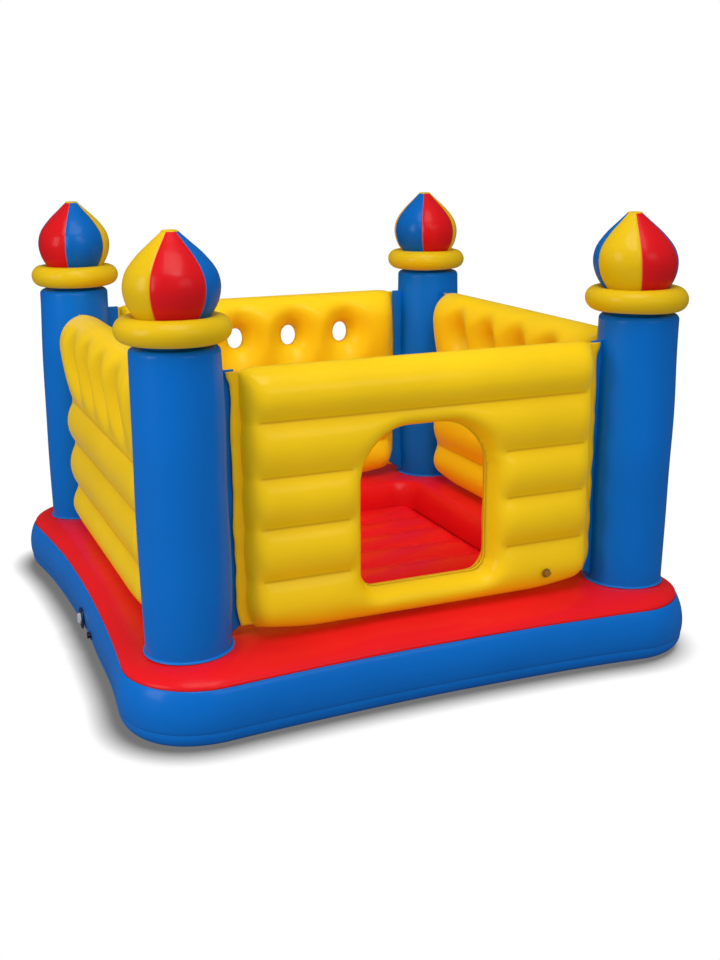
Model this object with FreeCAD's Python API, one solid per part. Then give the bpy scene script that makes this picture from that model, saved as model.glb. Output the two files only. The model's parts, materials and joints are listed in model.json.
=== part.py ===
import FreeCAD, Part
import math
import os

# Inflatable castle bouncer, in millimetres.
# Origin: centre of the footprint, on the ground.  +Z up, doorway towards -Y.

# ---- driving dimensions ----------------------------------------------------
FILM = 2.0                  # skin thickness of every air chamber
WEB = 1.0                   # thickness of the bands inside the chambers
GAP = 0.3                   # clearance between neighbouring sheets

TOWER_OFFSET = 700.0        # tower axes stand at +-700, +-700
CORNER_X = 668.0            # centres of the puffed base corners
CORNER_Y = 700.0
CORNER_RADIUS = 230.0       # plan radius of the base corners
SIDE_HOLLOW = 30.0          # a side's middle lies this far inside its corners
BASE_HEIGHT = 199.0
SEAM_HEIGHT = 160.0         # weld between side band and deck
SEAM_INSET = 18.0           # how far the seam lies inside the widest line
BAND_MIDDLE = 85.0          # height of the widest line
FOOT_HEIGHT = 45.0          # weld between side band and bottom sheet
FOOT_INSET = 45.0           # flat part of the bottom starts this far in
DECK_ROUND = 150.0          # deck rounds down over this width

PIT_HALF = 545.0            # half width of the sunken floor
PIT_FLARE = 45.0            # the pit wall flares by this much towards the deck
PIT_CORNER = 15.0
FLOOR_HEIGHT = 98.0         # height of the floor's weld lines
FLOOR_PUFF = 12.0
FLOOR_LOBES = 7
FLOOR_CLEARANCE = 5.0

WALL_PLANE = 705.0          # distance of each wall's middle plane from the centre
WALL_LENGTH = 1070.0
WALL_BOTTOM = 203.0
WALL_FOOT = 45.0            # half width of the flat under a wall
WALL_WELD = 56.0            # half thickness at a weld line
WALL_PUFF = 80.0            # half thickness between weld lines
WALL_CAP = 74.0             # radius of the rounded wall top
WALL_TOP = 947.0
SIDE_WELDS = (354.0, 509.0, 654.0)
FRONT_WELDS = (368.0, 515.0, 655.0, 805.0)
WALL_WEB_HALF = 490.0       # webs end this far from a wall's middle
DOOR_WEB_CLEARANCE = 67.0   # and this far from the doorway
FLANGE_WIDTH = 25.0
FLANGE_BOTTOM = 214.0
FLANGE_TOP = 942.0

PORTHOLE_HEIGHT = 795.0
PORTHOLE_PITCH = 213.0
PORTHOLE_RADIUS = 30.0
PORTHOLE_MOUTH = 76.0       # radius of the funnel where it leaves the wall
DOOR_HALF = 203.0
DOOR_BOTTOM = 297.0
DOOR_TOP = 757.0
DOOR_TOP_CORNER = 150.0
DOOR_BOTTOM_CORNER = 45.0

COLUMN_RADIUS = 120.0
COLUMN_TOP_RADIUS = 117.0
COLUMN_BOTTOM = 201.0
COLUMN_TOP = 1017.0
COLUMN_SHOULDER = 16.0
FLAP_REACH = 150.0          # flap edge, measured from the tower axis
WELD_RING = 10.0            # width of the weld round a column foot
NECK_RADIUS = 74.0
NECK_TOP = 1050.0
RING_HEIGHT = 1059.0
RING_RADIUS = 115.0
RING_TUBE = 34.0
DOME_PROFILE = ((93, 1087), (114, 1124), (121.5, 1165), (113, 1202),
                (84, 1242), (45, 1279), (20, 1302))
GORE_ANGLE = 72.0           # five gores to a dome
GORE_JOIN = 0.1             # angle left open at a gore seam
TIP_RADIUS = 20.0

MAIN_VALVE_ALONG = -44.0    # position along the left side
SIDE_VALVE_ALONG = -198.0
BASE_VALVE_HEIGHT = 67.0
WALL_VALVE_ALONG = 364.0
WALL_VALVE_HEIGHT = 280.0
HOLE_CLEARANCE = 1.0
MAIN_TUBE = 18.0            # outer radius of the main valve's tube
MAIN_BORE = 13.0
MAIN_DEPTH = 23.5           # the tube reaches this far into the base
MAIN_FLANGE = 34.0
MAIN_FLANGE_THICK = 3.0
GASKET_RADIUS = 16.5
GASKET_LOW = 3.2
GASKET_HIGH = 4.7
PLUG_LOW = 4.9              # underside of the plug's head
PLUG_HEAD = 17.0
PLUG_HEAD_THICK = 4.5
PLUG_STEM_END = -9.0
PLUG_CLEARANCE = 0.4
GRIP_LENGTH = 26.0
GRIP_WIDTH = 6.0
GRIP_HEIGHT = 4.6
FLAP_GAP = 0.5
FLAP_THICK = 1.2
FLAP_RADIUS = 17.0
FLAP_TAB_WIDTH = 10.0
FLAP_TAB_START = 14.0
FLAP_TAB_END = 19.0
SMALL_TUBE = 7.0            # outer radius of a small valve's nozzle
SMALL_BORE = 5.0
SMALL_FLANGE = 14.0
SMALL_FLANGE_THICK = 1.5
NOZZLE_LOW = -10.0
NOZZLE_HIGH = 8.0
STRAP_WIDTH = 5.0
STRAP_ROOT_LOW = 5.0        # root of the stopper strap, welded to the nozzle
STRAP_ROOT_HIGH = 7.85
STRAP_OVERLAP = 0.8
STRAP_END = 12.0
STOPPER_RADIUS = 9.0
STOPPER_LOW = 8.3
STOPPER_HIGH = 10.3
STOPPER_PLUG = (4.0, 4.5)   # end and root radius of the tapered plug
STOPPER_PLUG_LONG = 3.5

UP = FreeCAD.Vector(0, 0, 1)
ORIGIN = FreeCAD.Vector(0, 0, 0)

TOWERS = {"front_left": (-1, -1), "front_right": (1, -1),
          "rear_right": (1, 1), "rear_left": (-1, 1)}
WALLS = {"front": 0, "right": 90, "rear": 180, "left": 270}
# Where the first gore of each dome starts, and the gores' colours from there on.
DOMES = {"front_left": (-131.0, ("red", "blue", "yellow", "red", "yellow")),
         "rear_left": (-114.0, ("blue", "yellow", "red", "blue", "red")),
         "rear_right": (-122.0, ("red", "yellow", "blue", "yellow", "blue")),
         "front_right": (-117.0, ("red", "blue", "yellow", "blue", "yellow"))}


# ---- drawing helpers -------------------------------------------------------
def at(x, z):
    return FreeCAD.Vector(x, 0, z)


def line(start, end):
    return Part.makeLine(start, end)


def arc(start, middle, end):
    return Part.Arc(start, middle, end).toShape()


def quarter_round(start, corner, end):
    """Quarter of an ellipse from start to end, turning round the corner point."""
    curve = Part.BezierCurve()
    curve.setPoles([start, corner, end])
    curve.setWeight(2, math.sqrt(0.5))
    return curve.toShape()


def face_of(edges):
    return Part.Face(Part.Wire(edges))


def turned(shape, angle):
    copy = shape.copy()
    copy.rotate(ORIGIN, UP, angle)
    return copy


def moved(shape, x, y, z=0.0):
    copy = shape.copy()
    copy.translate(FreeCAD.Vector(x, y, z))
    return copy


def swept(profile, start_angle, sweep_angle):
    """Turn a profile drawn in the XZ plane about the Z axis."""
    return turned(profile, start_angle).revolve(ORIGIN, UP, sweep_angle)


def joined(solids):
    return solids[0].fuse(solids[1:]).removeSplitter()


def block(x1, x2, y1, y2, z1, z2):
    return Part.makeBox(x2 - x1, y2 - y1, z2 - z1, FreeCAD.Vector(x1, y1, z1))


def tube(outer, inner, bottom, top):
    body = Part.makeCylinder(outer, top - bottom, at(0, bottom))
    return body.cut(Part.makeCylinder(inner, top - bottom, at(0, bottom)))


def disc(radius, bottom, top):
    return Part.makeCylinder(radius, top - bottom, at(0, bottom))


def skin(make, *sizes):
    """Hollow chamber: the outside shape less the same shape one film smaller."""
    return make(*sizes, 0.0).cut(make(*sizes, FILM))


# ---- base ------------------------------------------------------------------
def side_arc(span):
    """Radius, reach of its centre beyond the corner centres, and half angle of the
    hollow side between two corners whose centres lie at +-span.  The side arc and the
    corner circles are tangent."""
    step = CORNER_RADIUS - SIDE_HOLLOW
    radius = (span ** 2 + step ** 2 - CORNER_RADIUS ** 2) / (2 * SIDE_HOLLOW)
    return radius, step + radius, math.degrees(math.atan2(span, step + radius))


def quarter_layout(quarter):
    """Corner centre and side arcs of one quarter of the footprint, turned to face +X."""
    ahead, across = (CORNER_X, CORNER_Y) if quarter % 2 == 0 else (CORNER_Y, CORNER_X)
    return ahead, across, side_arc(across), side_arc(ahead)


def round_base(profile):
    """Carry a profile round the footprint.  profile(place) draws a face with
    place(radius, z), the radius counted from a corner circle's centre."""
    pieces = []
    for quarter in range(4):
        ahead, across, (radius, reach, bend), (_, _, next_bend) = quarter_layout(quarter)
        side_profile = profile(lambda r, z: at(radius + CORNER_RADIUS - r, z))
        side = moved(swept(side_profile, 180 - bend, 2 * bend), ahead + reach, 0)
        corner = moved(swept(profile(at), -bend, 90 + bend + next_bend), ahead, across)
        pieces += [turned(corner, 90 * quarter), turned(side, 90 * quarter)]
    return pieces


def base_plate(radius, bottom, top):
    """Flat sheet with the footprint's outline at the given corner radius."""
    edges = []
    for quarter in range(4):
        ahead, across, (_, _, bend), (_, _, next_bend) = quarter_layout(quarter)

        def corner_point(degrees):
            angle = math.radians(degrees)
            return FreeCAD.Vector(ahead + radius * math.cos(angle),
                                  across + radius * math.sin(angle), bottom)
        corner = arc(corner_point(-bend), corner_point(45), corner_point(90 + next_bend))
        side_start = corner_point(-bend)
        side_end = FreeCAD.Vector(side_start.x, -side_start.y, bottom)
        side_middle = FreeCAD.Vector(ahead - SIDE_HOLLOW + radius, 0, bottom)
        edge = arc(side_end, side_middle, side_start)
        edges += [turned(edge, 90 * quarter), turned(corner, 90 * quarter)]
    plate = Part.Face(Part.Wire(Part.__sortEdges__(edges)))
    return plate.extrude(FreeCAD.Vector(0, 0, top - bottom))


def band_radius(height):
    """Corner radius of the side band at a height."""
    rise = SEAM_HEIGHT - BAND_MIDDLE
    round_radius = (rise ** 2 + SEAM_INSET ** 2) / (2 * SEAM_INSET)
    away = height - BAND_MIDDLE
    return CORNER_RADIUS - round_radius + math.sqrt(round_radius ** 2 - away ** 2)


def side_surface(along):
    """Distance of the left side's widest line from the centre."""
    radius, reach, _ = side_arc(CORNER_Y)
    return CORNER_X + reach - math.sqrt(radius ** 2 - along ** 2)


def side_band():
    low = FOOT_HEIGHT + GAP

    def profile(place):
        def bulge(thickness):
            heights = (low, BAND_MIDDLE, SEAM_HEIGHT)
            return [place(band_radius(z) - thickness, z) for z in heights]
        outer = bulge(0.0)
        inner = bulge(FILM)
        return face_of([arc(*outer), line(outer[2], inner[2]), arc(*inner[::-1]),
                        line(inner[0], outer[0])])

    band = joined(round_base(profile))
    for along, radius in ((MAIN_VALVE_ALONG, MAIN_TUBE), (SIDE_VALVE_ALONG, SMALL_TUBE)):
        hole = disc(radius + HOLE_CLEARANCE, -MAIN_DEPTH, MAIN_DEPTH)
        band = band.cut(on_left_side(hole, along))
    return band


def bottom_sheet():
    """Flat underside with its edge curled up to the side band."""
    edge = band_radius(FOOT_HEIGHT)
    flat = CORNER_RADIUS - FOOT_INSET

    def profile(place):
        outer = quarter_round(place(edge, FOOT_HEIGHT), place(edge, 0), place(flat, 0))
        inner = quarter_round(place(flat, FILM), place(edge - FILM, FILM),
                              place(edge - FILM, FOOT_HEIGHT))
        return face_of([outer, line(place(flat, 0), place(flat, FILM)), inner,
                        line(place(edge - FILM, FOOT_HEIGHT), place(edge, FOOT_HEIGHT))])

    return joined(round_base(profile) + [base_plate(flat, 0, FILM)])


def pit_rim():
    """Inner wall of the base: rounds over from the deck, then drops to the bottom."""
    centre = PIT_HALF - PIT_CORNER
    top = PIT_CORNER + PIT_FLARE
    low = FILM + GAP
    outer = quarter_round(at(top, BASE_HEIGHT), at(PIT_CORNER, BASE_HEIGHT),
                          at(PIT_CORNER, FLOOR_HEIGHT))
    inner = quarter_round(at(PIT_CORNER + FILM, FLOOR_HEIGHT),
                          at(PIT_CORNER + FILM, BASE_HEIGHT - FILM),
                          at(top, BASE_HEIGHT - FILM))
    profile = face_of([
        outer, line(at(PIT_CORNER, FLOOR_HEIGHT), at(PIT_CORNER, low)),
        line(at(PIT_CORNER, low), at(PIT_CORNER + FILM, low)),
        line(at(PIT_CORNER + FILM, low), at(PIT_CORNER + FILM, FLOOR_HEIGHT)),
        inner, line(at(top, BASE_HEIGHT - FILM), at(top, BASE_HEIGHT))])
    pieces = []
    for quarter in range(4):
        corner = moved(swept(profile, 0, 90), centre, centre)
        side = moved(profile, centre, -centre).extrude(FreeCAD.Vector(0, 2 * centre, 0))
        pieces += [turned(corner, 90 * quarter), turned(side, 90 * quarter)]
    return pieces


def rounded_square(half, radius, bottom, top):
    square = block(-half, half, -half, half, bottom, top)
    upright = [edge for edge in square.Edges
               if abs(edge.Vertexes[0].X - edge.Vertexes[-1].X) < 1e-6
               and abs(edge.Vertexes[0].Y - edge.Vertexes[-1].Y) < 1e-6]
    return square.makeFillet(radius, upright)


def top_deck():
    """Red deck: rounds down to the seam outside and into the pit inside."""
    seam = CORNER_RADIUS - SEAM_INSET
    flat = CORNER_RADIUS - DECK_ROUND
    low = SEAM_HEIGHT + GAP

    def profile(place):
        outer = quarter_round(place(seam, low), place(seam, BASE_HEIGHT),
                              place(flat, BASE_HEIGHT))
        inner = quarter_round(place(flat, BASE_HEIGHT - FILM),
                              place(seam - FILM, BASE_HEIGHT - FILM),
                              place(seam - FILM, low))
        return face_of([
            outer, line(place(flat, BASE_HEIGHT), place(flat, BASE_HEIGHT - FILM)),
            inner, line(place(seam - FILM, low), place(seam, low))])

    opening = rounded_square(PIT_HALF + PIT_FLARE, PIT_CORNER + PIT_FLARE,
                             BASE_HEIGHT - FILM, BASE_HEIGHT)
    plate = base_plate(flat, BASE_HEIGHT - FILM, BASE_HEIGHT).cut(opening)
    return joined(round_base(profile) + [plate] + pit_rim())


def base_webs():
    """Upright bands under the walls that tie the deck to the underside."""
    half = WALL_LENGTH / 2
    web = block(-half, half, WALL_PLANE - WEB / 2, WALL_PLANE + WEB / 2,
                FILM + GAP, BASE_HEIGHT - FILM - GAP)
    return Part.makeCompound([turned(web, 90 * quarter) for quarter in range(4)])


def floor_sheet():
    """Quilted floor: lobes along X, welded down between them."""
    half = PIT_HALF - FLOOR_CLEARANCE
    pitch = 2 * half / FLOOR_LOBES
    edges = []
    for drop in (0.0, FILM):
        for lobe in range(FLOOR_LOBES):
            start = -half + lobe * pitch
            edges.append(arc(FreeCAD.Vector(-half, start, FLOOR_HEIGHT - drop),
                             FreeCAD.Vector(-half, start + pitch / 2,
                                            FLOOR_HEIGHT + FLOOR_PUFF - drop),
                             FreeCAD.Vector(-half, start + pitch, FLOOR_HEIGHT - drop)))
    for end in (-half, half):
        edges.append(line(FreeCAD.Vector(-half, end, FLOOR_HEIGHT),
                          FreeCAD.Vector(-half, end, FLOOR_HEIGHT - FILM)))
    section = Part.Face(Part.Wire(Part.__sortEdges__(edges)))
    return section.extrude(FreeCAD.Vector(2 * half, 0, 0))


def floor_webs():
    half = PIT_HALF - FLOOR_CLEARANCE
    pitch = 2 * half / FLOOR_LOBES
    webs = []
    for line_number in range(1, FLOOR_LOBES):
        y = -half + line_number * pitch
        webs.append(block(-half, half, y - WEB / 2, y + WEB / 2,
                          FILM + GAP, FLOOR_HEIGHT - FILM - GAP))
    return Part.makeCompound(webs)


# ---- walls, drawn as the front wall and turned into place ------------------
def wall_block(welds, inset):
    """Solid wall: puffed between the weld lines, round on top."""
    heights = [WALL_BOTTOM + inset] + list(welds)
    cap_centre = WALL_TOP - WALL_CAP
    cap = WALL_CAP - inset

    def place(half, z):
        return FreeCAD.Vector(0, half - WALL_PLANE, z)

    def half_at(index):
        return (WALL_FOOT if index == 0 else WALL_WELD) - inset

    edges = []
    for side in (1, -1):
        for index in range(len(heights) - 1):
            middle = (heights[index] + heights[index + 1]) / 2
            edges.append(arc(place(side * half_at(index), heights[index]),
                             place(side * (WALL_PUFF - inset), middle),
                             place(side * half_at(index + 1), heights[index + 1])))
        middle = (heights[-1] + cap_centre) / 2
        edges.append(arc(place(side * half_at(1), heights[-1]),
                         place(side * (WALL_PUFF - inset), middle),
                         place(side * cap, cap_centre)))
    edges.append(arc(place(cap, cap_centre), place(0, cap_centre + cap),
                     place(-cap, cap_centre)))
    edges.append(line(place(-half_at(0), heights[0]), place(half_at(0), heights[0])))
    section = Part.Face(Part.Wire(Part.__sortEdges__(edges)))
    half_length = WALL_LENGTH / 2 - inset
    return moved(section, -half_length, 0).extrude(FreeCAD.Vector(2 * half_length, 0, 0))


def porthole_funnels(inset):
    """Through holes of the upper lobe, wide at both faces of the wall."""
    reach = WALL_PUFF + 10.0
    narrow = PORTHOLE_RADIUS + inset
    wide = PORTHOLE_MOUTH + inset
    profile = face_of([arc(at(wide, -reach), at(narrow, 0), at(wide, reach)),
                       line(at(wide, reach), at(0, reach)),
                       line(at(0, reach), at(0, -reach)),
                       line(at(0, -reach), at(wide, -reach))])
    funnel = profile.revolve(ORIGIN, UP, 360)
    funnel.rotate(ORIGIN, FreeCAD.Vector(1, 0, 0), 90)
    places = [(number - 1.5) * PORTHOLE_PITCH for number in range(4)]
    return [moved(funnel, x, -WALL_PLANE, PORTHOLE_HEIGHT) for x in places]


def porthole_block(welds, inset):
    return wall_block(welds, inset).cut(porthole_funnels(inset))


def door_prism(grow, depth):
    """Doorway outline, grown outwards, through the front wall's plane."""
    half = DOOR_HALF + grow
    low = DOOR_BOTTOM - grow
    high = DOOR_TOP + grow
    big = DOOR_TOP_CORNER + grow
    small = DOOR_BOTTOM_CORNER + grow
    slant = math.sqrt(0.5)
    edges = [line(at(small - half, low), at(half - small, low)),
             arc(at(half - small, low),
                 at(half - small + small * slant, low + small - small * slant),
                 at(half, low + small)),
             line(at(half, low + small), at(half, high - big)),
             arc(at(half, high - big),
                 at(half - big + big * slant, high - big + big * slant),
                 at(half - big, high)),
             line(at(half - big, high), at(big - half, high)),
             arc(at(big - half, high),
                 at(big - half - big * slant, high - big + big * slant),
                 at(-half, high - big)),
             line(at(-half, high - big), at(-half, low + small)),
             arc(at(-half, low + small),
                 at(small - half - small * slant, low + small - small * slant),
                 at(small - half, low))]
    outline = moved(face_of(edges), 0, -WALL_PLANE - depth)
    return outline.extrude(FreeCAD.Vector(0, 2 * depth, 0))


def front_wall():
    """Front skin, cut open for the doorway and the small wall valve."""
    wall = skin(wall_block, FRONT_WELDS).cut(door_prism(0.0, 2 * WALL_PUFF))
    hole = disc(SMALL_TUBE + HOLE_CLEARANCE, -MAIN_DEPTH, MAIN_DEPTH)
    return wall.cut(on_front_wall(hole))


def door_lining():
    """Strip that closes the wall round the doorway, between its two faces."""
    strip = door_prism(FILM, 2 * WALL_PUFF).cut(door_prism(0.0, 3 * WALL_PUFF))
    return strip.common(wall_block(FRONT_WELDS, FILM + GAP))


def wall_webs(welds):
    """Level bands that tie a wall's two faces together at the weld lines."""
    reach = WALL_WELD - FILM - GAP
    webs = [block(-WALL_WEB_HALF, WALL_WEB_HALF, -WALL_PLANE - reach, -WALL_PLANE + reach,
                  z - WEB / 2, z + WEB / 2) for z in welds]
    return Part.makeCompound(webs)


def front_webs():
    """The top web runs right across; the lower ones stop short of the doorway."""
    doorway = door_prism(DOOR_WEB_CLEARANCE, 2 * WALL_PUFF)
    beside_door = wall_webs(FRONT_WELDS[:-1]).cut(doorway)
    return Part.makeCompound(beside_door.Solids + wall_webs(FRONT_WELDS[-1:]).Solids)


def wall_flanges():
    """Flat weld strips at a wall's two ends."""
    start = WALL_LENGTH / 2 + GAP
    end = start + FLANGE_WIDTH
    strip = block(start, end, -WALL_PLANE - FILM / 2, -WALL_PLANE + FILM / 2,
                  FLANGE_BOTTOM, FLANGE_TOP)
    mirror = block(-end, -start, -WALL_PLANE - FILM / 2, -WALL_PLANE + FILM / 2,
                   FLANGE_BOTTOM, FLANGE_TOP)
    return Part.makeCompound([strip, mirror])


# ---- towers, drawn on the Z axis and moved to their corner ------------------
def column_block(inset):
    foot = COLUMN_RADIUS - inset
    top = COLUMN_TOP_RADIUS - inset
    low = COLUMN_BOTTOM + inset
    high = COLUMN_TOP - inset
    shoulder = at(top, COLUMN_TOP - COLUMN_SHOULDER)
    crown = at(top - COLUMN_SHOULDER, high)
    profile = face_of([
        line(at(0, low), at(foot, low)), line(at(foot, low), shoulder),
        quarter_round(shoulder, at(top, high), crown),
        line(crown, at(0, high)), line(at(0, high), at(0, low))])
    return profile.revolve(ORIGIN, UP, 360)


def column_flaps(x_sign, y_sign):
    """Two flat weld strips on a column, facing the two walls beside it."""
    inner = WALL_PLANE - TOWER_OFFSET - FILM / 2 - GAP
    strip = block(COLUMN_RADIUS + GAP, FLAP_REACH, inner - FILM, inner,
                  FLANGE_BOTTOM, FLANGE_TOP)
    towards_x = strip if x_sign < 0 else strip.mirror(ORIGIN, FreeCAD.Vector(1, 0, 0))
    if y_sign < 0:
        towards_x = towards_x.mirror(ORIGIN, FreeCAD.Vector(0, 1, 0))
    across = turned(strip, 90).mirror(ORIGIN, FreeCAD.Vector(1, 0, 0))
    towards_y = across if y_sign < 0 else across.mirror(ORIGIN, FreeCAD.Vector(0, 1, 0))
    if x_sign < 0:
        towards_y = towards_y.mirror(ORIGIN, FreeCAD.Vector(1, 0, 0))
    return Part.makeCompound([towards_x, towards_y])


def ring_block(inset):
    return Part.makeTorus(RING_RADIUS, RING_TUBE - inset, at(0, RING_HEIGHT))


def gore_profile():
    """Cross-section of the dome film."""
    outer = [at(radius, height) for radius, height in DOME_PROFILE]
    curve = Part.BSplineCurve()
    curve.interpolate(outer)
    inner = []
    for place in outer:
        along = curve.tangent(curve.parameter(place))[0]
        inner.append(place + FreeCAD.Vector(-along.z, 0, along.x) * FILM)
    inner_curve = Part.BSplineCurve()
    inner_curve.interpolate(inner)
    return face_of([curve.toShape(), line(outer[-1], inner[-1]),
                    inner_curve.toShape(), line(inner[0], outer[0])])


def dome_gores(start, colours, colour):
    """All gores of one colour."""
    profile = gore_profile()
    return Part.makeCompound([swept(profile, start + number * GORE_ANGLE, GORE_ANGLE - GORE_JOIN)
                              for number, own in enumerate(colours) if own == colour])


def dome_tip():
    top = DOME_PROFILE[-1][1]
    return disc(TIP_RADIUS, top + GAP, top + GAP + FILM)


# ---- valves, drawn with the outward direction along +Z ---------------------
def on_left_side(shape, along):
    copy = shape.copy()
    copy.rotate(ORIGIN, FreeCAD.Vector(0, 1, 0), -90)
    return moved(copy, -side_surface(along) - GAP, along, BASE_VALVE_HEIGHT)


def on_front_wall(shape):
    copy = shape.copy()
    copy.rotate(ORIGIN, FreeCAD.Vector(1, 0, 0), 90)
    return moved(copy, WALL_VALVE_ALONG, -WALL_PLANE - WALL_PUFF - GAP, WALL_VALVE_HEIGHT)


def main_valve_housing():
    flange = tube(MAIN_FLANGE, MAIN_BORE, 0.0, MAIN_FLANGE_THICK)
    return flange.fuse(tube(MAIN_TUBE, MAIN_BORE, -MAIN_DEPTH, 0.0)).removeSplitter()


def main_valve_gasket():
    return tube(GASKET_RADIUS, MAIN_BORE + HOLE_CLEARANCE, GASKET_LOW, GASKET_HIGH)


def main_valve_plug():
    """Screw plug with a finger grip across its head."""
    head_top = PLUG_LOW + PLUG_HEAD_THICK
    stem = disc(MAIN_BORE - PLUG_CLEARANCE, PLUG_STEM_END, PLUG_LOW)
    head = disc(PLUG_HEAD, PLUG_LOW, head_top)
    grip = block(-GRIP_LENGTH / 2, GRIP_LENGTH / 2, -GRIP_WIDTH / 2, GRIP_WIDTH / 2,
                 head_top, head_top + GRIP_HEIGHT)
    return stem.fuse([head, grip]).removeSplitter()


def main_valve_flap():
    """One-way flap behind the housing, on a small hinge tab at its top."""
    top = -MAIN_DEPTH - FLAP_GAP
    leaf = disc(FLAP_RADIUS, top - FLAP_THICK, top)
    tab = block(FLAP_TAB_START, FLAP_TAB_END, -FLAP_TAB_WIDTH / 2, FLAP_TAB_WIDTH / 2,
                top - FLAP_THICK, top)
    return leaf.fuse(tab).removeSplitter()


def strap(start, low, high):
    """Piece of stopper strap, from a distance beside the nozzle to its bend."""
    return block(start, STRAP_END, -STRAP_WIDTH / 2, STRAP_WIDTH / 2, low, high)


def small_valve_neck():
    """Soft nozzle with a weld flange and the root of its stopper strap."""
    flange = tube(SMALL_FLANGE, SMALL_BORE, 0.0, SMALL_FLANGE_THICK)
    nozzle = tube(SMALL_TUBE, SMALL_BORE, NOZZLE_LOW, NOZZLE_HIGH)
    root = strap(SMALL_TUBE - STRAP_OVERLAP, STRAP_ROOT_LOW, STRAP_ROOT_HIGH)
    return flange.fuse([nozzle, root]).removeSplitter()


def small_valve_stopper():
    """Stopper cap, tapered plug and the free end of its strap."""
    cap = disc(STOPPER_RADIUS, STOPPER_LOW, STOPPER_HIGH)
    plug = Part.makeCone(*STOPPER_PLUG, STOPPER_PLUG_LONG,
                         at(0, STOPPER_LOW - STOPPER_PLUG_LONG))
    end = strap(STOPPER_RADIUS - HOLE_CLEARANCE, STOPPER_LOW, STOPPER_HIGH)
    return cap.fuse([plug, end]).removeSplitter()


# ---- all nodes -------------------------------------------------------------
def base_nodes():
    return {"base_side_band": side_band(), "base_top_deck": top_deck(),
            "base_bottom_sheet": bottom_sheet(), "base_webs": base_webs(),
            "floor_top_sheet": floor_sheet(), "floor_webs": floor_webs()}


def wall_nodes():
    plain = skin(porthole_block, SIDE_WELDS)
    nodes = {"door_lining": door_lining()}
    for name, angle in WALLS.items():
        wall = front_wall() if name == "front" else plain
        webs = front_webs() if name == "front" else wall_webs(SIDE_WELDS)
        nodes["wall_skin_" + name] = turned(wall, angle)
        nodes["wall_webs_" + name] = turned(webs, angle)
        nodes["wall_flanges_" + name] = turned(wall_flanges(), angle)
    return nodes


def tower_nodes():
    column = skin(column_block)
    ring = skin(ring_block)
    neck = tube(NECK_RADIUS, NECK_RADIUS - FILM, COLUMN_TOP + GAP, NECK_TOP)
    weld = tube(COLUMN_RADIUS + WELD_RING, COLUMN_RADIUS + GAP,
                BASE_HEIGHT + GAP, BASE_HEIGHT + GAP + WEB)
    nodes = {}
    necks = []
    welds = []
    for name, (x_sign, y_sign) in TOWERS.items():
        def stand(shape):
            return moved(shape, x_sign * TOWER_OFFSET, y_sign * TOWER_OFFSET)
        nodes["column_" + name] = stand(column)
        nodes["column_flaps_" + name] = stand(column_flaps(x_sign, y_sign))
        nodes["ring_" + name] = stand(ring)
        nodes["dome_tip_" + name] = stand(dome_tip())
        start, colours = DOMES[name]
        for colour in sorted(set(colours)):
            nodes["dome_" + colour + "_" + name] = stand(dome_gores(start, colours, colour))
        necks.append(stand(neck))
        welds.append(stand(weld))
    nodes["neck_sleeves"] = Part.makeCompound(necks)
    nodes["column_foot_welds"] = Part.makeCompound(welds)
    return nodes


def valve_nodes():
    nodes = {"main_valve_housing": main_valve_housing(),
             "main_valve_gasket": main_valve_gasket(),
             "main_valve_plug": main_valve_plug(),
             "main_valve_flap": main_valve_flap()}
    nodes = {name: on_left_side(shape, MAIN_VALVE_ALONG) for name, shape in nodes.items()}
    nodes["side_valve_neck"] = on_left_side(small_valve_neck(), SIDE_VALVE_ALONG)
    nodes["side_valve_stopper"] = on_left_side(small_valve_stopper(), SIDE_VALVE_ALONG)
    nodes["wall_valve_neck"] = on_front_wall(small_valve_neck())
    nodes["wall_valve_stopper"] = on_front_wall(small_valve_stopper())
    return nodes


os.makedirs("parts", exist_ok=True)
for group in (base_nodes(), wall_nodes(), tower_nodes(), valve_nodes()):
    for node, solid in group.items():
        solid.exportStep("parts/" + node + ".step")
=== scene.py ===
import json
import math

import bpy
import numpy as np
from mathutils import Matrix, Vector


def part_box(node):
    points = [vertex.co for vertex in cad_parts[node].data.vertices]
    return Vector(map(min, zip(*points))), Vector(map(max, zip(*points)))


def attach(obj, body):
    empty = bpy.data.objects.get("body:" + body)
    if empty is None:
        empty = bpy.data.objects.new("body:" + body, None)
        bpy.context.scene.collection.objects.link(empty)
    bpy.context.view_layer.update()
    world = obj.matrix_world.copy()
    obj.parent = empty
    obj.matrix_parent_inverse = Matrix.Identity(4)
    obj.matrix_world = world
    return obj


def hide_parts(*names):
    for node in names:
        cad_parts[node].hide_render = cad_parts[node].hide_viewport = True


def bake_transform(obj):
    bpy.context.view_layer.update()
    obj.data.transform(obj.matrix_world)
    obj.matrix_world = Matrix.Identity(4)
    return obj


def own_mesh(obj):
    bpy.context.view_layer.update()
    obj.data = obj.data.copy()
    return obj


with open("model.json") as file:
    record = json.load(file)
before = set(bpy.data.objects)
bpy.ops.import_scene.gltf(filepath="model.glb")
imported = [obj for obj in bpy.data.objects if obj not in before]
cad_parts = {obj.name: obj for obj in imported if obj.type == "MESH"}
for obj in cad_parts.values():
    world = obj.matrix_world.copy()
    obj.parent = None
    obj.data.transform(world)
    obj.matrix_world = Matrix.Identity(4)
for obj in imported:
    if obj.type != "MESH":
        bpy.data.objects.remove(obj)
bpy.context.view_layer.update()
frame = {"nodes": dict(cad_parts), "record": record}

MM = 0.001
QUARTER = math.pi / 2
FULL_TURN = 2 * math.pi
TOWERS = {"front_left": (-1, -1), "front_right": (1, -1), "rear_right": (1, 1), "rear_left": (-1, 1)}
WALLS = {"front": 0, "right": 90, "rear": 180, "left": 270}

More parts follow.
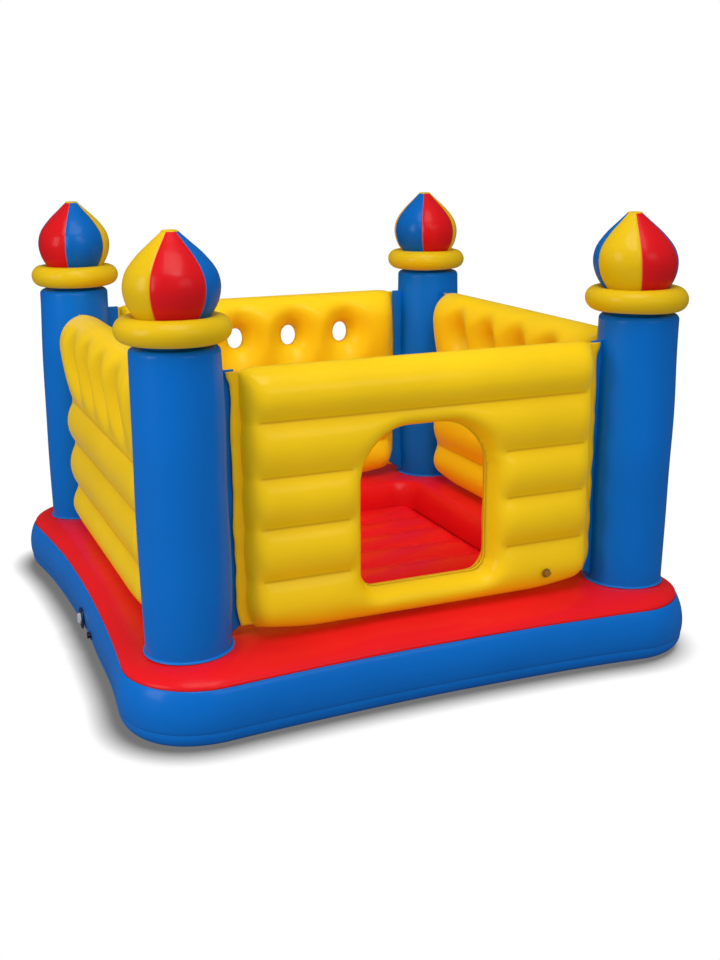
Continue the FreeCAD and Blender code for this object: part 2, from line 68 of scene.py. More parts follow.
# ---- places read from the frame --------------------------------------------
BAND_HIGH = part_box("base_side_band")[1]
DECK_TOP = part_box("base_top_deck")[1].z
FOOT_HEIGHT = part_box("base_bottom_sheet")[1].z
FLOOR_LOW, FLOOR_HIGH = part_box("floor_top_sheet")
COLUMN_LOW, COLUMN_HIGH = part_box("column_front_left")
RING_LOW, RING_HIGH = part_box("ring_front_left")
DOME_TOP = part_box("dome_red_front_left")[1].z
DOOR_LOW, DOOR_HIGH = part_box("door_lining")
WALL_LOW, WALL_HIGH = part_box("wall_skin_front")
FLANGE_LOW, FLANGE_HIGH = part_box("wall_flanges_front")
NECK_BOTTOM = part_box("neck_sleeves")[0].z
TOWER = -(COLUMN_LOW.x + COLUMN_HIGH.x) / 2     # tower axes stand this far out both ways
COLUMN_RADIUS = (COLUMN_HIGH.x - COLUMN_LOW.x) / 2
WALL_PLANE = -(FLANGE_LOW.y + FLANGE_HIGH.y) / 2
WALL_HALF = WALL_HIGH.x


# ---- small helpers ---------------------------------------------------------
def ripple(points, size, seed, waves=7):
    """Smooth wandering value of about -1 to 1, with hills of roughly the given size."""
    random = np.random.default_rng(seed)
    total = np.zeros(len(points))
    for _ in range(waves):
        direction = random.normal(size=3)
        direction *= random.uniform(0.6, 1.5) * math.pi / size / np.linalg.norm(direction)
        total += np.sin(points @ direction + random.uniform(0, FULL_TURN))
    return total / math.sqrt(waves)


def ease(value):
    """Smooth step from 0 to 1 as the value goes from 0 to 1."""
    value = np.clip(value, 0.0, 1.0)
    return value * value * (3 - 2 * value)


def grid(rows, columns, closed=False):
    """Quads of a grid of points kept row by row; closed joins the last column to the first."""
    last = columns if closed else columns - 1
    quads = []
    for row in range(rows - 1):
        for column in range(last):
            here = row * columns + column
            beside = row * columns + (column + 1) % columns
            quads.append((here, beside, beside + columns, here + columns))
    return quads


def append_part(points, faces, more_points, more_faces):
    """Add a part's points and faces to lists that already hold other parts."""
    faces += [tuple(corner + len(points) for corner in face) for face in more_faces]
    points += np.asarray(more_points).tolist()


def lathe(profile, segments, start=0.0, sweep=FULL_TURN):
    """Points and quads of (radius, height) pairs turned about the Z axis."""
    closed = sweep == FULL_TURN
    columns = segments if closed else segments + 1
    angles = start + np.arange(columns) / segments * sweep
    radius = np.array([pair[0] for pair in profile])[:, None]
    height = np.array([pair[1] for pair in profile])[:, None]
    x = radius * np.cos(angles)
    y = radius * np.sin(angles)
    z = height * np.ones_like(angles)
    return np.column_stack([x.ravel(), y.ravel(), z.ravel()]), grid(len(profile), columns, closed)


def from_axis(points):
    return np.hypot(points[:, 0], points[:, 1])


def bearing(points):
    """Direction of points round the Z axis."""
    return np.arctan2(points[:, 1], points[:, 0])


def tower_place(name):
    x_sign, y_sign = TOWERS[name]
    return np.array([x_sign * TOWER, y_sign * TOWER, 0.0])


def from_tower(points, name):
    return from_axis(points - tower_place(name))


def turned(points, angle):
    """Points turned about the Z axis by an angle in degrees."""
    turn = math.radians(angle)
    matrix = np.array([[math.cos(turn), math.sin(turn), 0],
                       [-math.sin(turn), math.cos(turn), 0], [0, 0, 1]])
    return np.asarray(points) @ matrix


def mesh_points(mesh):
    return np.array([vertex.co for vertex in mesh.vertices])


def add_piece(name, points, faces, look, body, replaces=(), weld=None):
    """A smooth mesh in the row frame that rides on a body and stands for CAD nodes."""
    mesh = bpy.data.meshes.new(name)
    mesh.from_pydata(np.asarray(points).tolist(), [], faces)
    mesh.update()
    mesh.shade_smooth()
    values = np.zeros(len(points)) if weld is None else np.asarray(weld, float)
    attribute = mesh.attributes.new("weld", "FLOAT", "POINT")
    attribute.data.foreach_set("value", values.astype(np.float32))
    piece = bpy.data.objects.new(name, mesh)
    bpy.context.scene.collection.objects.link(piece)
    mesh.materials.append(LOOKS[look])
    if body:
        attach(piece, body)
    if replaces:
        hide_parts(*replaces)
    return piece


def add_modifier(piece, kind, **settings):
    modifier = piece.modifiers.new(kind.lower(), kind)
    for key, value in settings.items():
        setattr(modifier, key, value)


# ---- materials -------------------------------------------------------------
class Look:
    """A node material under construction."""

    def __init__(self, name):
        self.material = bpy.data.materials.new(name)
        self.material.use_nodes = True
        self.tree = self.material.node_tree
        self.surface = self.tree.nodes["Principled BSDF"]
        self.place = self.add("ShaderNodeTexCoord").outputs["Object"]

    def add(self, kind, **settings):
        node = self.tree.nodes.new(kind)
        for key, value in settings.items():
            setattr(node, key, value)
        return node

    def link(self, source, target):
        self.tree.links.new(source, target)

    def noise(self, scale, detail, stretch=(1, 1, 1)):
        mapping = self.add("ShaderNodeMapping")
        mapping.inputs["Scale"].default_value = stretch
        self.link(self.place, mapping.inputs["Vector"])
        texture = self.add("ShaderNodeTexNoise")
        texture.inputs["Scale"].default_value = scale
        texture.inputs["Detail"].default_value = detail
        self.link(mapping.outputs["Vector"], texture.inputs["Vector"])
        return texture.outputs["Fac"]

    def between(self, source, low, high, start=0.0, end=1.0):
        """Map a value from start..end to low..high."""
        node = self.add("ShaderNodeMapRange")
        for socket, value in (("From Min", start), ("From Max", end), ("To Min", low), ("To Max", high)):
            node.inputs[socket].default_value = value
        self.link(source, node.inputs["Value"])
        return node.outputs["Result"]

    def math(self, operation, first, second):
        node = self.add("ShaderNodeMath", operation=operation)
        for socket, value in zip(node.inputs, (first, second)):
            if isinstance(value, float):
                socket.default_value = value
            else:
                self.link(value, socket)
        return node.outputs["Value"]

    def mix(self, factor, first, second):
        node = self.add("ShaderNodeMix", data_type="RGBA")
        self.link(factor, node.inputs["Factor"])
        for name, value in (("A", first), ("B", second)):
            socket = next(s for s in node.inputs if s.name == name and s.type == "RGBA")
            if isinstance(value, tuple):
                socket.default_value = (*value, 1.0)
            else:
                self.link(value, socket)
        return next(s for s in node.outputs if s.type == "RGBA")

    def bump(self, height, distance, strength, below=None):
        node = self.add("ShaderNodeBump")
        node.inputs["Distance"].default_value = distance
        node.inputs["Strength"].default_value = strength
        self.link(height, node.inputs["Height"])
        if below is not None:
            self.link(below, node.inputs["Normal"])
        return node.outputs["Normal"]

    def set(self, **values):
        for name, value in values.items():
            socket = self.surface.inputs[name.replace("_", " ")]
            if hasattr(value, "links"):
                self.link(value, socket)
            else:
                socket.default_value = value


def shade(colour, factor):
    return tuple(min(1.0, channel * factor) for channel in colour)


def vinyl(name, colour, weld_and_highlight_colour, glow=0.0, rough=0.36):
    """Welded PVC film: soft gloss, faint unevenness, scuffs and pressed weld lines; the red film's lighter
    weld colour is partly a painted highlight.
    Glow is painted light: an emission that lifts the film's shade, standing for daylight that comes through
    thin yellow film."""
    look = Look(name)
    broad = look.noise(3.5, 2.0)
    tone = look.mix(look.between(broad, 0.0, 1.0, 0.3, 0.7), shade(colour, 0.95), shade(colour, 1.04))
    weld = look.add("ShaderNodeAttribute", attribute_name="weld").outputs["Fac"]
    line = look.math("POWER", weld, 3.0)
    tone = look.mix(line, tone, weld_and_highlight_colour)
    uneven = look.between(look.noise(22.0, 4.0), rough - 0.04, rough + 0.05, 0.3, 0.7)
    scuff = look.between(look.noise(30.0, 6.0, (1.0, 1.0, 3.0)), 0.0, 0.05, 0.6, 0.8)
    roughness = look.math("ADD", look.math("ADD", uneven, scuff), look.math("MULTIPLY", line, 0.12))
    film = None
    for scale, detail, height, strength in FILM_WAVES:
        film = look.bump(look.noise(scale, detail), height * MM, strength, film)
    pressed = look.add("ShaderNodeTexChecker")
    pressed.inputs["Scale"].default_value = 400.0
    look.link(look.place, pressed.inputs["Vector"])
    film = look.bump(look.math("MULTIPLY", pressed.outputs["Fac"], line), 0.05 * MM, 0.2, film)
    look.set(Base_Color=tone, Roughness=roughness, Normal=film, IOR=1.5, Specular_IOR_Level=0.10,
             Coat_Weight=0.14, Coat_Roughness=0.15)
    if glow:
        look.set(Emission_Color=(*YELLOW_GLOW, 1.0), Emission_Strength=glow)
    return look.material


def moulded(name, colour, rough):
    """Moulded valve plastic or rubber with a fine satin grain and handling marks."""
    look = Look(name)
    tone = look.mix(look.between(look.noise(90.0, 4.0), 0.0, 1.0, 0.35, 0.65),
                    shade(colour, 0.9), shade(colour, 1.08))
    roughness = look.between(look.noise(240.0, 4.0), rough - 0.06, rough + 0.1)
    grain = look.bump(look.noise(1800.0, 3.0), 0.05 * MM, 0.6)
    look.set(Base_Color=tone, Roughness=roughness, Normal=grain)
    return look.material


YELLOW = (0.855, 0.555, 0.007)
BLUE = (0.0004, 0.154, 0.60)
RED = (0.83, 0.008, 0.013)
YELLOW_WELD = (0.66, 0.33, 0.004)
# painted light: emission colour of the yellow film's glow, which lifts its shade
YELLOW_GLOW = (0.90, 0.54, 0.004)
BLUE_WELD = (0.01, 0.17, 0.55)
# lighter than the red film: the weld mark together with a painted highlight along the red welds
RED_WELD_HIGHLIGHT = (0.88, 0.08, 0.07)
DOME_PAINTED_SHADE = 0.78           # painted shade: the colours of the rings and domes are darkened by this share, so these high, strongly lit parts come out darker
# Noise scale, detail, height in millimetres and strength of the film's unevenness.
FILM_WAVES = ((9.0, 2.0, 3.0, 0.25), (60.0, 3.0, 0.25, 0.35), (500.0, 2.0, 0.04, 0.3))
# Colour, weld colour, glow and roughness of each film. The glow is painted light, the red weld colour is
# partly a painted highlight, and the dome films carry painted shade.
FILMS = {"yellow_vinyl": (YELLOW, YELLOW_WELD, 0.12),
         "blue_vinyl": (BLUE, BLUE_WELD),
         "red_vinyl": (RED, RED_WELD_HIGHLIGHT),
         "yellow_dome": (shade(YELLOW, DOME_PAINTED_SHADE), shade(YELLOW_WELD, DOME_PAINTED_SHADE), 0.09),
         "blue_dome": (shade(BLUE, DOME_PAINTED_SHADE), BLUE_WELD),
         "red_dome": (shade(RED, DOME_PAINTED_SHADE), RED_WELD_HIGHLIGHT),
         "weld_vinyl": ((0.004, 0.155, 0.56), (0.006, 0.175, 0.60)),
         "web_film": ((0.7, 0.7, 0.66), (0.6, 0.6, 0.56), 0.0, 0.45)}
# Colour and roughness of each moulded material. The main valve plug's white (valve_white) is partly its own
# colour and partly a painted highlight.
MOULDINGS = {"valve_dark": ((0.006, 0.012, 0.06), 0.35), "valve_white": ((0.60, 0.64, 0.72), 0.3),
             "seal_rubber": ((0.02, 0.02, 0.02), 0.6), "valve_soft": ((0.33, 0.17, 0.012), 0.5)}
LOOKS = {name: vinyl(name, *values) for name, values in FILMS.items()}
LOOKS |= {name: moulded(name, *values) for name, values in MOULDINGS.items()}


# ---- base ------------------------------------------------------------------
CORNER_RADIUS = 230 * MM    # plan radius of the puffed corners
CORNER_X = BAND_HIGH.x - CORNER_RADIUS
CORNER_Y = BAND_HIGH.y - CORNER_RADIUS
SIDE_HOLLOW = 30 * MM       # a side's middle lies this far inside its corners
BAND_MIDDLE = 85 * MM       # height of the widest line
SEAM_HEIGHT = 160 * MM      # weld between side band and deck
SEAM_INSET = 18 * MM        # how far the seam lies inside the widest line
SEAM_RADIUS = CORNER_RADIUS - SEAM_INSET
FOOT_FLAT = CORNER_RADIUS - 45 * MM     # the bottom starts to curl up here
DECK_FLAT = CORNER_RADIUS - 150 * MM    # the deck starts to round down here
PIT_HALF = FLOOR_HIGH.x + 5 * MM
PIT_FLARE = 45 * MM         # the pit wall flares by this much towards the deck
PIT_CORNER = 65 * MM
CORNER_SWELL = 8 * MM       # the corners swell this much further at the ground
CORNER_PULL = {"front_right": 32 * MM, "rear_left": -10 * MM}   # and are drawn in or pushed out
CORNER_STEPS = 40
SIDE_STEPS = 96


def quarter_turned(points, quarter):
    cos = round(math.cos(quarter * QUARTER))
    sin = round(math.sin(quarter * QUARTER))
    return [(x * cos - y * sin, x * sin + y * cos) for x, y in points]


def side_arc(span):
    """Radius, reach beyond the corner centres and half angle of a hollow side."""
    step = CORNER_RADIUS - SIDE_HOLLOW
    radius = (span ** 2 + step ** 2 - CORNER_RADIUS ** 2) / (2 * SIDE_HOLLOW)
    return radius, step + radius, math.atan2(span, step + radius)


def footprint(radius):
    """Points round the base with rounded corners and hollow sides, and how near each is
    to the middle of a corner."""
    points = []
    corner_share = []
    for quarter in range(4):
        ahead, across = (CORNER_X, CORNER_Y) if quarter % 2 == 0 else (CORNER_Y, CORNER_X)
        side_radius, reach, bend = side_arc(across)
        next_bend = side_arc(ahead)[2]
        away = side_radius + CORNER_RADIUS - radius
        local = []
        for step in range(SIDE_STEPS):
            angle = bend * (2 * step / SIDE_STEPS - 1)
            local.append((ahead + reach - away * math.cos(angle), away * math.sin(angle)))
            corner_share.append(0.0)
        for step in range(CORNER_STEPS):
            share = step / CORNER_STEPS
            angle = -bend + share * (QUARTER + bend + next_bend)
            local.append((ahead + radius * math.cos(angle), across + radius * math.sin(angle)))
            corner_share.append(math.sin(math.pi * share) ** 2)
        points += quarter_turned(local, quarter)
    return np.array(points), np.array(corner_share)


def pit_outline(half, radius):
    """Rounded square with its points matched to those of footprint()."""
    centre = half - radius
    points = []
    for quarter in range(4):
        local = [(half, centre * (2 * step / SIDE_STEPS - 1)) for step in range(SIDE_STEPS)]
        for step in range(CORNER_STEPS):
            angle = step / CORNER_STEPS * QUARTER
            local.append((centre + radius * math.cos(angle), centre + radius * math.sin(angle)))
        points += quarter_turned(local, quarter)
    return np.array(points)


def stacked(rows):
    """One array of points from rows of (plan points, height or heights)."""
    return np.concatenate([np.column_stack([plan, np.broadcast_to(height, len(plan))])
                           for plan, height in rows])


def side_profile(height):
    """Corner radius of the side band at a height: an arc through its welds."""
    rise = SEAM_HEIGHT - BAND_MIDDLE
    arc = (rise ** 2 + SEAM_INSET ** 2) / (2 * SEAM_INSET)
    return CORNER_RADIUS - arc + math.sqrt(arc ** 2 - (height - BAND_MIDDLE) ** 2)


def corner_bulge(plan, share, height):
    """Swell the corners a little further low down and make no two of them quite alike."""
    amount = CORNER_SWELL * ease(np.array(1 - height / DECK_TOP)) * share
    outward = plan / np.linalg.norm(plan, axis=1)[:, None]
    plan = plan + outward * amount[:, None]
    for name, pull in CORNER_PULL.items():
        x_sign, y_sign = TOWERS[name]
        near = ease((x_sign * plan[:, 0] - 0.45) / 0.40) * ease((y_sign * plan[:, 1] - 0.25) / 0.45)
        plan[:, 0] -= x_sign * pull * near
    return plan


def base_row(radius, height):
    plan, share = footprint(radius)
    return corner_bulge(plan, share, height), height


def base_shell(name, rows, replaced, weld_rows):
    """Blue skin of the base through rows of points, gently uneven."""
    points = stacked(rows)
    count = len(rows[0][0])
    outward = np.column_stack([points[:, :2], np.zeros(len(points))])
    outward /= np.maximum(np.linalg.norm(outward, axis=1), 1e-6)[:, None]
    points += outward * (1.6 * MM * ripple(points, 0.22, 3))[:, None]
    weld = np.zeros(len(points))
    for row in weld_rows:
        weld[row * count:(row + 1) * count] = 1.0
    add_piece(name, points, grid(len(rows), count, True), "blue_vinyl", "castle", [replaced], weld)


def weld_groove(distance):
    """How far a surface is drawn in at a distance from a weld line."""
    return 2.2 * MM * math.exp(-abs(distance) / (3.5 * MM))


def build_side_band():
    """Blue band from the foot weld to the deck's seam, with rows crowded at both."""
    near_foot = [FOOT_HEIGHT + offset * MM for offset in (0, 1.5, 4, 8)]
    between = np.linspace(FOOT_HEIGHT + 14 * MM, SEAM_HEIGHT - 12 * MM, 14)
    near_seam = [SEAM_HEIGHT - offset * MM for offset in (7, 3.5, 1.5, 0)]
    rows = []
    for height in [*near_foot, *between, *near_seam]:
        grooves = weld_groove(height - FOOT_HEIGHT) + weld_groove(height - SEAM_HEIGHT)
        rows.append(base_row(side_profile(height) - grooves, height))
    base_shell("side_band", rows, "base_side_band", (0, len(rows) - 1))


def build_bottom_sheet():
    """Flat underside that curls up to the foot weld."""
    edge = side_profile(FOOT_HEIGHT)
    curl = []
    for step in range(11):
        angle = step / 10 * QUARTER
        radius = FOOT_FLAT + (edge - FOOT_FLAT) * math.cos(angle)
        height = FOOT_HEIGHT * (1 - math.sin(angle))
        curl.append(base_row(radius - weld_groove(FOOT_HEIGHT - height), height))
    curl.reverse()
    under = curl[0][0]
    flat = [(under * share, 0.0) for share in (0.01, 0.3, 0.6, 0.85)]
    rows = flat + curl
    base_shell("bottom_sheet", rows, "base_bottom_sheet", (len(curl) + 3,))


def corner_rise(points):
    """How much further the deck is blown up round the front left column."""
    return 8 * MM * np.exp(-(from_tower(points, "front_left") / (155 * MM)) ** 4)


def deck_height(points):
    """Height of the deck under points near the corners."""
    away = np.hypot(np.maximum(np.abs(points[:, 0]) - CORNER_X, 0),
                    np.maximum(np.abs(points[:, 1]) - CORNER_Y, 0))
    share = np.clip((away - DECK_FLAT) / (SEAM_RADIUS - DECK_FLAT), 0, 1)
    return SEAM_HEIGHT + (DECK_TOP - SEAM_HEIGHT) * np.sqrt(1 - share ** 2) + corner_rise(points)


def deck_rows():
    """Rows of the deck: up from the seam, level to the pit's rim, then down the pit wall."""
    rows = []
    for step in range(19):
        angle = (step / 18) ** 1.3 * QUARTER
        radius = DECK_FLAT + (SEAM_RADIUS - DECK_FLAT) * math.cos(angle)
        height = SEAM_HEIGHT + (DECK_TOP - SEAM_HEIGHT) * math.sin(angle)
        groove = weld_groove((SEAM_RADIUS - radius) + (height - SEAM_HEIGHT))
        rows.append(base_row(radius - groove, height))
    outer = rows[-1][0]
    rim = pit_outline(PIT_HALF + PIT_FLARE, PIT_CORNER + PIT_FLARE)
    for step in range(1, 13):
        share = step / 12
        rows.append((outer * (1 - share) + rim * share, DECK_TOP + 2 * MM * math.sin(math.pi * share)))
    for step in range(1, 13):
        angle = step / 12 * QUARTER
        flare = PIT_FLARE * (1 - math.sin(angle))
        height = FLOOR_LOW.z + (DECK_TOP - FLOOR_LOW.z) * math.cos(angle)
        rows.append((pit_outline(PIT_HALF + flare, PIT_CORNER + flare), height))
    for height in (70 * MM, 30 * MM, 3 * MM):
        rows.append((pit_outline(PIT_HALF, PIT_CORNER), height))
    return rows


def build_top_deck():
    """Red deck, gently uneven and pressed down a little round each column."""
    rows = deck_rows()
    points = stacked(rows)
    on_top = ease((points[:, 2] - 150 * MM) / (45 * MM))
    points[:, 2] += on_top * (1.8 * MM * ripple(points, 0.25, 11) + corner_rise(points))
    for name in TOWERS:
        beside = from_tower(points, name) - COLUMN_RADIUS
        points[:, 2] -= on_top * 5 * MM * np.exp(-(beside / (22 * MM)) ** 2)
    count = len(rows[0][0])
    weld = np.zeros(len(points))
    weld[:count] = 1.0
    add_piece("top_deck", points, grid(len(rows), count, True), "red_vinyl", "castle",
              ["base_top_deck"], weld)


# ---- floor -----------------------------------------------------------------
FLOOR_LOBES = 7
LOBE_STEPS = 14             # rows of points across a lobe
FLOOR_PUFF = 23 * MM


def build_floor():
    """Quilted floor: lobes puffed between its weld lines, with puckers at the welds, gentle waves and flat
    ends.
    """
    half = FLOOR_HIGH.x
    pitch = 2 * half / FLOOR_LOBES
    number = np.arange(FLOOR_LOBES * LOBE_STEPS + 1)
    along = np.linspace(-half, half, 91)
    x, y = np.meshgrid(along, -half + pitch * number / LOBE_STEPS)
    in_lobe = (y + half) / pitch % 1.0
    puff = FLOOR_PUFF * np.sqrt(np.clip(np.sin(math.pi * in_lobe), 0, 1))
    ends = ease((half - np.abs(x)) / (40 * MM))
    near_weld = np.exp(-np.minimum(in_lobe, 1 - in_lobe) * pitch / (9 * MM))
    flat = np.column_stack([x.ravel(), y.ravel(), np.zeros(x.size)])
    pucker = 1.6 * MM * near_weld * ripple(flat * (1, 0.15, 1), 0.03, 5).reshape(x.shape)
    waves = 1.5 * MM * ripple(flat, 0.2, 6).reshape(x.shape)
    z = FLOOR_LOW.z + (puff + pucker + waves) * ends
    points = np.column_stack([x.ravel(), y.ravel(), z.ravel()])
    on_weld = (number % LOBE_STEPS == 0)[:, None] & (np.abs(x) < half - 20 * MM)
    piece = add_piece("floor_quilt", points, grid(*x.shape), "red_vinyl", None,
                      ["floor_top_sheet"], on_weld.ravel())
    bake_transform(piece)


# ---- walls -----------------------------------------------------------------
SIDE_WELDS = [height * MM for height in (354, 509, 654)]
FRONT_WELDS = [height * MM for height in (368, 515, 655, 805)]
# Half thickness at a weld, between welds and in the rounded top; how far the welds reach
# along the wall; how far its ends draw in at each weld; how sharply an opening dips.
PLAIN_SHAPE = {"weld": 55 * MM, "lobe": 81 * MM, "cap": 89 * MM, "reach": 508 * MM,
               "scallop": 15 * MM, "dimple": 0.5}
FRONT_SHAPE = {"weld": 49 * MM, "lobe": 75 * MM, "cap": 77 * MM, "reach": 508 * MM,
               "scallop": 5 * MM, "dimple": 0.0}
WALL_LIFT = 7 * MM          # a wall's foot hangs this far above its CAD foot
WALL_FOOT = 68 * MM         # height of its rounded foot
WALL_ROUNDING = 58 * MM     # length of its rounded ends
WALL_CORNER = 44 * MM       # its lower corners are cut back by this much
GRID_STEP = 9.5 * MM
ARC_STEPS = 8
DOOR_PADDING = 8 * MM       # the padded rim narrows the doorway by this much each side
DOOR_TOP_CORNER = 150 * MM
DOOR_BOTTOM_CORNER = 45 * MM
PORTHOLE_PITCH = 213 * MM
PORTHOLE_HEIGHT = 795 * MM
PORTHOLE_RADIUS = 30 * MM
PORTHOLE_STRETCH = 0.78     # a porthole's width as a share of its height


def door_distance(x, z):
    """Distance outside the doorway outline, negative inside it."""
    half_width = DOOR_HIGH.x - DOOR_PADDING
    middle = (DOOR_LOW.z + DOOR_HIGH.z - DOOR_PADDING) / 2
    half_height = (DOOR_HIGH.z - DOOR_LOW.z - DOOR_PADDING) / 2
    radius = np.where(z > middle, DOOR_TOP_CORNER, DOOR_BOTTOM_CORNER)
    over_x = np.abs(x) - half_width + radius
    over_z = np.abs(z - middle) - half_height + radius
    inside = np.minimum(np.maximum(over_x, over_z), 0)
    return inside + np.hypot(np.maximum(over_x, 0), np.maximum(over_z, 0)) - radius


def porthole_distance(x, z):
    """Distance outside the nearest of the four portholes."""
    rise = (z - PORTHOLE_HEIGHT) * PORTHOLE_STRETCH
    away = [np.hypot(x - (number - 1.5) * PORTHOLE_PITCH, rise) for number in range(4)]
    return np.minimum.reduce(away) - PORTHOLE_RADIUS


# How far away an opening's outline is; half thickness at its rim; width over which the wall
# swells up from it; width that its neighbourhood keeps clear of weld lines.
DOORWAY = {"distance": door_distance, "rim": 5 * MM, "round": 58 * MM, "clear": 42 * MM}
PORTHOLES = {"distance": porthole_distance, "rim": 4 * MM, "round": 74 * MM, "clear": 10 * MM}


def spread(start, end):
    """Evenly spaced values from start to end, about one grid step apart."""
    return list(np.linspace(start, end, max(2, round((end - start) / GRID_STEP)) + 1))


def wall_edge(height):
    """Half length of a wall at a height; its lower corners are rounded."""
    low = np.clip(1 - (height - WALL_LOW.z) / (110 * MM), 0, 1)
    return WALL_HALF - WALL_CORNER * (1 - np.sqrt(1 - low ** 2))


def wall_columns():
    """Places along a wall, drawn closer together in its rounded ends."""
    flat = WALL_HALF - WALL_ROUNDING
    right = []
    for step in range(1, ARC_STEPS + 1):
        right.append(flat + WALL_ROUNDING * math.sin(step / ARC_STEPS * QUARTER))
    return np.array([-x for x in right[::-1]] + spread(-flat, flat) + right)


def wall_rows(welds, shape):
    """Height, free half thickness, swell and weld flag of a wall's rows, foot to top seam."""
    bottom = WALL_LOW.z + WALL_LIFT
    cap_centre = WALL_HIGH.z - shape["cap"]
    rows = []
    for step in range(ARC_STEPS):
        angle = step / ARC_STEPS * QUARTER
        height = bottom + WALL_FOOT * (1 - math.cos(angle))
        rows.append((height, shape["lobe"] * math.sin(angle), 1.0, 0.0))
    levels = [bottom + WALL_FOOT, *welds, cap_centre]
    for low, high in zip(levels, levels[1:]):
        is_first = low == levels[0]
        is_last = high == cap_centre
        for height in spread(low, high)[:-1]:
            share = (height - low) / (high - low)
            start = 0.5 if is_first else 0.0
            turn = start + share / 2 if is_first or is_last else share
            free = shape["lobe"] + (shape["cap"] - shape["lobe"]) * share * is_last
            on_weld = share == 0 and not is_first
            rows.append((height, free, math.sin(math.pi * turn) ** 0.75, float(on_weld)))
    for step in range(ARC_STEPS + 1):
        angle = step / ARC_STEPS * QUARTER
        height = cap_centre + shape["cap"] * math.sin(angle)
        rows.append((height, shape["cap"] * math.cos(angle), 1.0, 0.0))
    return np.array(rows)


def wall_face(welds, shape, opening):
    """Grid of one wall face: places, half thickness, weld flags and the quads that
    remain outside its openings."""
    rows = wall_rows(welds, shape)
    x, z = np.meshgrid(wall_columns(), rows[:, 0])
    free, swell, flag = (np.repeat(rows[:, k:k + 1], x.shape[1], axis=1) for k in (1, 2, 3))
    along = np.abs(x)
    end_share = np.clip((along - WALL_HALF + WALL_ROUNDING) / WALL_ROUNDING, 0, 1)
    round_end = np.sqrt(1 - end_share ** 2)
    cut_back = WALL_HALF - wall_edge(z) + shape["scallop"] * (1 - swell)
    x = x - np.sign(x) * cut_back * ease((along - 400 * MM) / (130 * MM))
    low = np.clip(1 - (z - WALL_LOW.z) / (150 * MM), 0, 1)
    z = z - 14 * MM * (1 - round_end) * ease((z - 850 * MM) / (90 * MM))
    z = z + 16 * MM * low * ease((along - 330 * MM) / (200 * MM))
    away = opening["distance"](x, z)
    is_weld = (flag > 0.5) & (along < shape["reach"]) & (away > opening["clear"])
    no_weld = np.maximum(1 - ease((away - 8 * MM) / opening["clear"]),
                         ease((along - shape["reach"] + 15 * MM) / (30 * MM)))
    swell = np.maximum(swell, no_weld)
    thick = np.minimum(free, shape["weld"] + (free - shape["weld"]) * swell)
    near = np.clip(away / opening["round"], 0, 1)
    rise = shape["dimple"] * near + (1 - shape["dimple"]) * np.sqrt(1 - (1 - near) ** 2)
    padded = opening["rim"] + (thick - opening["rim"]) * rise
    thick = np.where(free < opening["rim"], thick, padded) * round_end
    flat_away = away.ravel()
    quads = [quad for quad in grid(*x.shape) if np.mean(flat_away[list(quad)]) > 0]
    return x.ravel(), z.ravel(), thick.ravel(), is_weld.ravel(), quads


def snap(x, z, distance, edge_points):
    """Move the points of an opening's edge onto its outline."""
    small = 0.1 * MM
    for _ in range(4):
        edge_x, edge_z = x[edge_points], z[edge_points]
        away = distance(edge_x, edge_z)
        slope_x = (distance(edge_x + small, edge_z) - distance(edge_x - small, edge_z)) / (2 * small)
        slope_z = (distance(edge_x, edge_z + small) - distance(edge_x, edge_z - small)) / (2 * small)
        x[edge_points] -= away * slope_x
        z[edge_points] -= away * slope_z


def edge_loops(faces):
    """Closed loops of points round the border of a set of quads."""
    directed = {(quad[k], quad[(k + 1) % 4]) for quad in faces for k in range(4)}
    follow = {b: a for a, b in directed if (b, a) not in directed}
    loops = []
    while follow:
        start = next(iter(follow))
        loop = [start]
        here = follow.pop(start)
        while here != start:
            loop.append(here)
            here = follow.pop(here)
        loops.append(loop)
    return loops


def pair_faces(x, z, thick, quads, shared):
    """Points of both faces of a wall, and where each grid corner went in front and behind.
    Shared corners, on the wall's border, are one point."""
    points = []
    front = {}
    back = {}
    for corner in sorted({corner for quad in quads for corner in quad}):
        depth = 0.0 if corner in shared else thick[corner]
        front[corner] = len(points)
        points.append((x[corner], -WALL_PLANE - depth, z[corner]))
        if corner not in shared:
            points.append((x[corner], -WALL_PLANE + depth, z[corner]))
        back[corner] = len(points) - 1
    return points, front, back


def ring_quads(first, second):
    count = len(first)
    return [(first[k], second[k], second[(k + 1) % count], first[(k + 1) % count]) for k in range(count)]


def build_chamber(welds, shape, opening):
    """Closed air chamber before inflation: points, faces, held points and weld marks."""
    x, z, thick, is_weld, quads = wall_face(welds, shape, opening)
    loops = edge_loops(quads)
    border = next(loop for loop in loops if 0 in loop)
    openings = [loop for loop in loops if loop is not border]
    for loop in openings:
        snap(x, z, opening["distance"], np.array(loop))
        thick[loop] = opening["rim"]
    shared = set(border)
    points, front, back = pair_faces(x, z, thick, quads, shared)
    faces = [tuple(front[corner] for corner in quad) for quad in quads]
    faces += [tuple(back[corner] for corner in quad[::-1]) for quad in quads]
    held = {front[corner] for corner in border}
    marks = {}
    for corner in front:
        if is_weld[corner] and corner not in shared:
            marks[front[corner]] = marks[back[corner]] = 1.0
    held |= set(marks)
    for loop in openings:
        outer = [front[corner] for corner in loop]
        inner = [back[corner] for corner in loop]
        middle = list(range(len(points), len(points) + len(loop)))
        points += [(x[corner], -WALL_PLANE, z[corner]) for corner in loop]
        faces += ring_quads(outer, middle) + ring_quads(middle, inner)
        held |= {*outer, *middle, *inner}
        marks |= {index: 0.8 for index in outer + inner}
    weld = np.zeros(len(points))
    weld[list(marks)] = list(marks.values())
    return np.array(points), faces, sorted(held), weld


